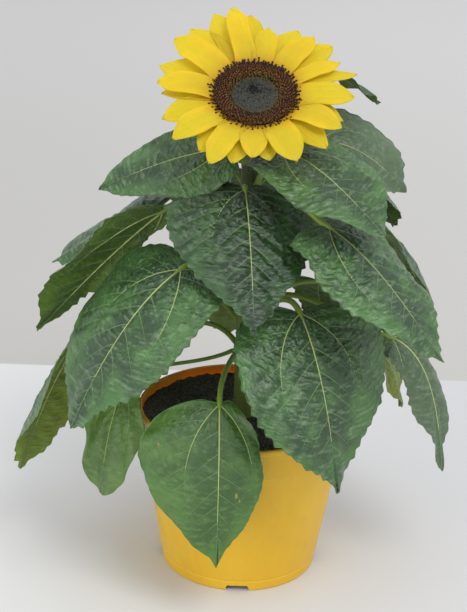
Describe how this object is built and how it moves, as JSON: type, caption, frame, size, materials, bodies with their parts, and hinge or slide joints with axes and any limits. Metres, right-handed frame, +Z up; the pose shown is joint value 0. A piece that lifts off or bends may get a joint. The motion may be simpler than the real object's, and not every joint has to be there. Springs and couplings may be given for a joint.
{
  "type": "potted dwarf sunflower",
  "caption": "Dwarf sunflower in a round plastic nursery pot: a short leafy stem with heart-shaped leaves on long stalks, and one yellow flower head that faces up and forward.",
  "frame": {"origin": "centre of the flat underside of the pot", "axes": "+Z up along the pot's axis, -Y towards the side that the flower head faces"},
  "size_m": [0.2642, 0.2312, 0.3418],
  "materials": {
    "pot": "matte yellow moulded plastic",
    "soil": "damp dark potting compost with fibres",
    "stem": "pale green hairy stem",
    "leaf": "dark green puckered leaf, paler underneath",
    "bract": "green hairy bracts",
    "petal": "satin yellow petal, finely ribbed along its length",
    "floret": "dark brown open florets with golden specks",
    "centre": "grey-green closed florets in spiral rows"
  },
  "bodies": {
    "root": {"pot": "pot", "soil": "soil", "stem": "stem", "leaf_collar_left": "leaf", "leaf_collar_right": "leaf", "leaf_shoulder_right": "leaf", "leaf_crown_right": "leaf", "leaf_back_right_high": "leaf", "leaf_back_high": "leaf", "leaf_back_left_high": "leaf", "leaf_front": "leaf", "leaf_right_front": "leaf", "leaf_right_high": "leaf", "leaf_back": "leaf", "leaf_back_right": "leaf", "leaf_left_high": "leaf", "leaf_left_back_high": "leaf", "leaf_left_front": "leaf", "leaf_back_left": "leaf", "leaf_back_low": "leaf", "leaf_low_front_right": "leaf", "leaf_left_low": "leaf", "leaf_right_low": "leaf", "leaf_right_back_low": "leaf", "leaf_right_small": "leaf", "leaf_foot_front": "leaf", "leaf_foot_left": "leaf", "leaf_foot_back_left": "leaf", "leaf_foot_back": "leaf", "receptacle": "bract", "florets": "floret", "flower_centre": "centre", "petal_front_1": "petal", "petal_front_2": "petal", "petal_front_3": "petal", "petal_front_4": "petal", "petal_front_5": "petal", "petal_front_6": "petal", "petal_front_7": "petal", "petal_front_8": "petal", "petal_front_9": "petal", "petal_front_10": "petal", "petal_front_11": "petal", "petal_front_12": "petal", "petal_back_1": "petal", "petal_back_2": "petal", "petal_back_3": "petal", "petal_back_4": "petal", "petal_back_5": "petal", "petal_back_6": "petal", "petal_back_7": "petal", "petal_back_8": "petal", "petal_back_9": "petal", "petal_back_10": "petal", "petal_back_11": "petal", "petal_back_12": "petal", "petal_back_13": "petal", "petal_back_14": "petal"}
  },
  "joints": []
}
